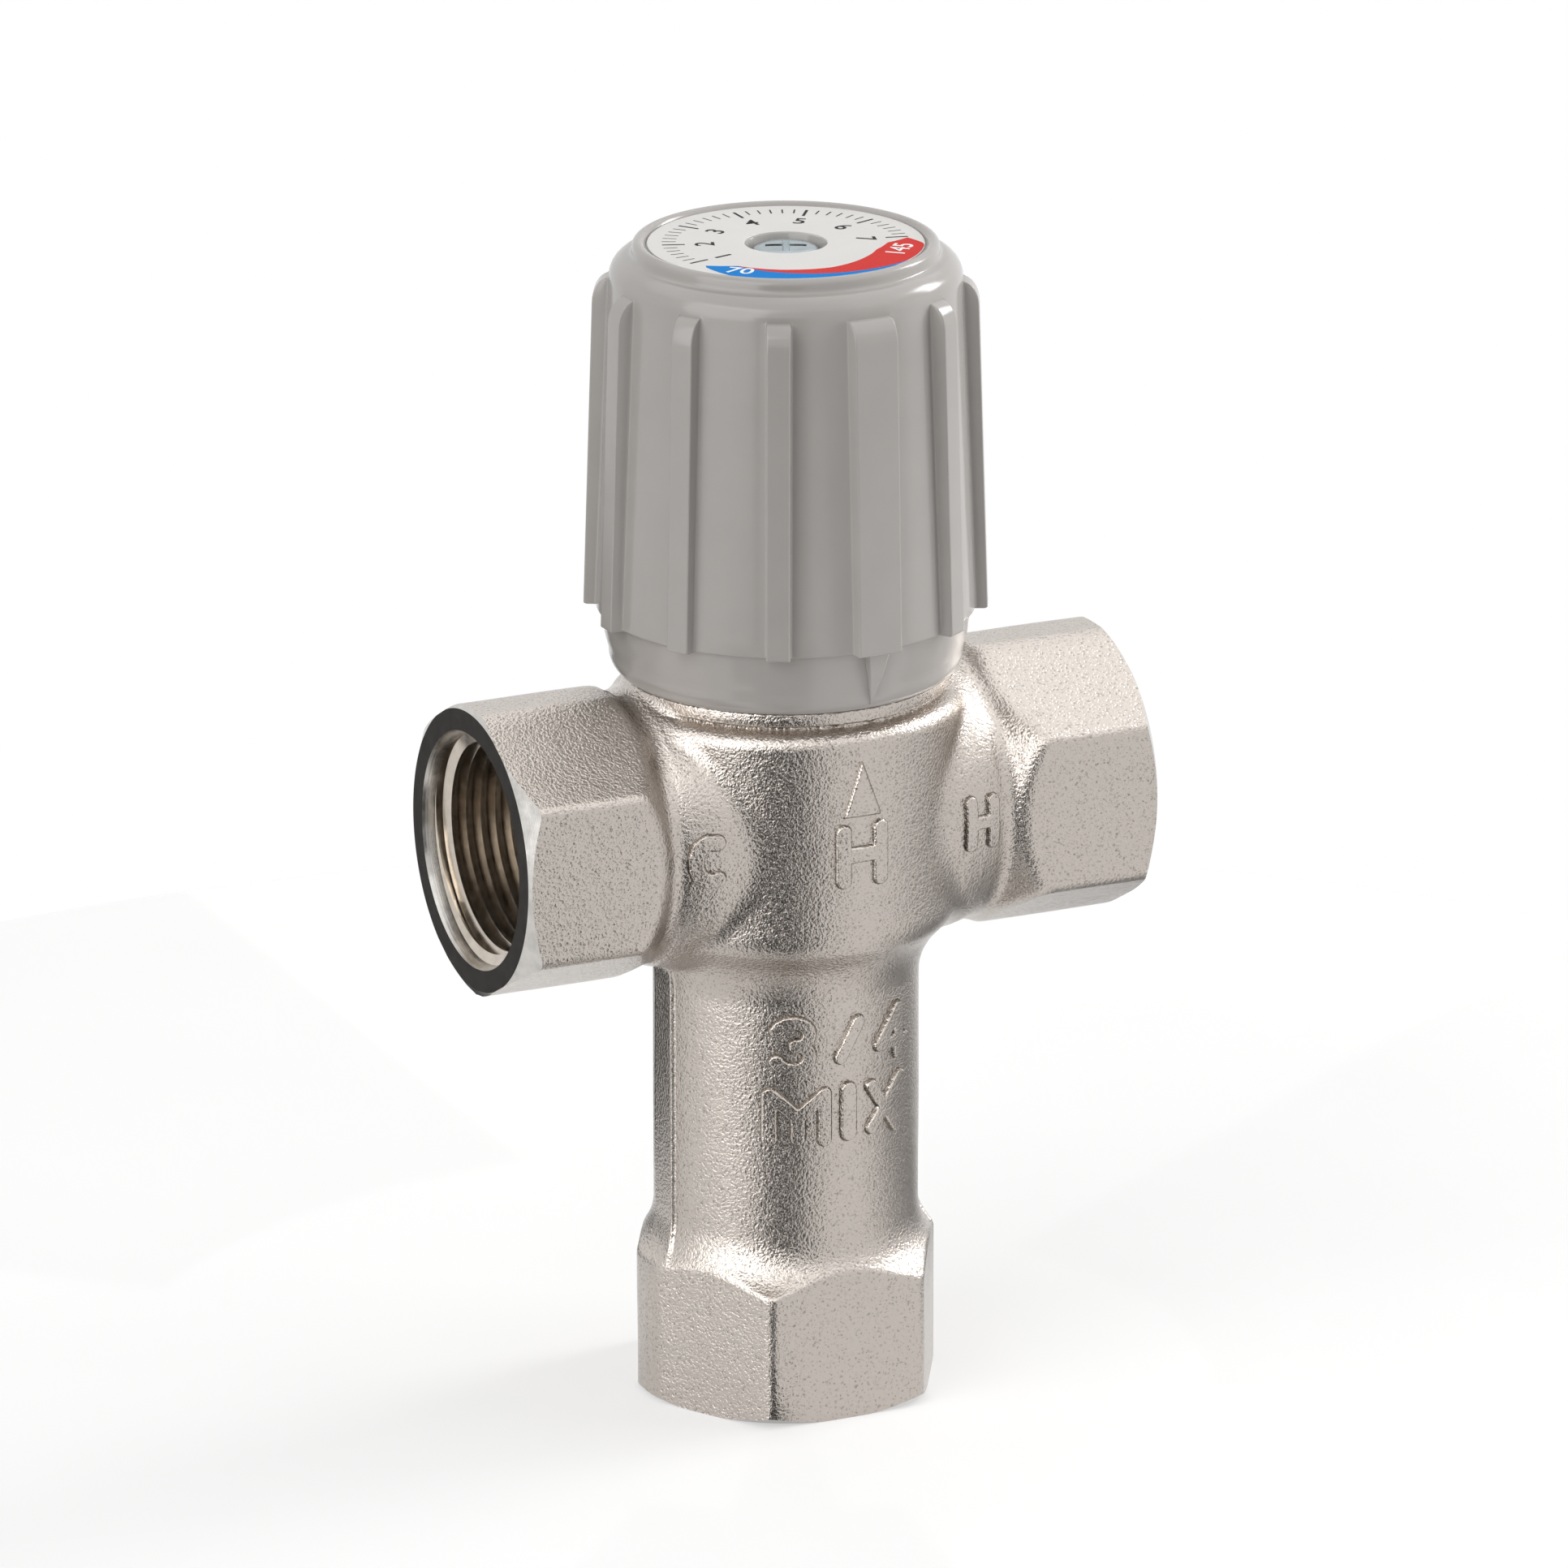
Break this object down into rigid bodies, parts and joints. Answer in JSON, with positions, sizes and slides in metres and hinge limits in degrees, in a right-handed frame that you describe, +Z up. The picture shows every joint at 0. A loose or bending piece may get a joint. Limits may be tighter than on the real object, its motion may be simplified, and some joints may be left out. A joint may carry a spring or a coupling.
{
  "type": "thermostatic mixing valve",
  "caption": "Nickel plated brass thermostatic mixing valve with two side inlets, a bottom outlet and a ribbed grey hand knob.",
  "frame": {"origin": "centre of the outlet's machined end face, on which the valve stands", "axes": "+Z up along the valve axis towards the knob, +X along the inlets towards the hot inlet, -Y towards the marked front"},
  "size_m": [0.08, 0.0469, 0.1383],
  "materials": {
    "nickel_brass": "shot blasted and nickel plated",
    "brass": "turned",
    "knob_plastic": "satin moulded",
    "label_film": "printed film",
    "zinc_steel": "zinc plated",
    "spring_steel": "drawn",
    "seal_rubber": "moulded",
    "slide_plastic": "moulded",
    "element_copper": "drawn copper"
  },
  "bodies": {
    "housing": {"valve_body": "nickel_brass", "bonnet": "brass", "bonnet_o_ring": "seal_rubber", "return_spring": "spring_steel"},
    "handle": {"knob": "knob_plastic", "knob_label": "label_film", "knob_screw": "zinc_steel", "spindle": "brass", "spindle_o_ring_upper": "seal_rubber", "spindle_o_ring_lower": "seal_rubber", "spindle_retaining_ring": "spring_steel", "thrust_washer": "slide_plastic"},
    "setting": {"setting_nut": "brass", "nut_snap_ring": "spring_steel", "overtravel_piston": "brass", "overtravel_spring": "spring_steel", "element_pin": "spring_steel"},
    "shuttle_group": {"wax_element": "element_copper", "shuttle": "slide_plastic", "shuttle_o_ring": "seal_rubber"}
  },
  "joints": [
    {"name": "knob_turn", "type": "hinge", "parent": "housing", "child": "handle", "pos_m": [0, 0, 0.11], "axis": [0, 0, 1], "range_deg": [-300, 0]},
    {"name": "setting_slide", "type": "slide", "parent": "housing", "child": "setting", "axis": [0, 0, 1], "range_m": [-0.0013, 0]},
    {"name": "shuttle_slide", "type": "slide", "parent": "housing", "child": "shuttle_group", "axis": [0, 0, 1], "range_m": [-0.0013, 0.0013], "stiffness_N_per_m": 3000, "deforming": ["return_spring"]}
  ],
  "couplings": [
    {"joint": "setting_slide", "follows": "knob_turn", "m_per_rad": 0.00023873}
  ]
}
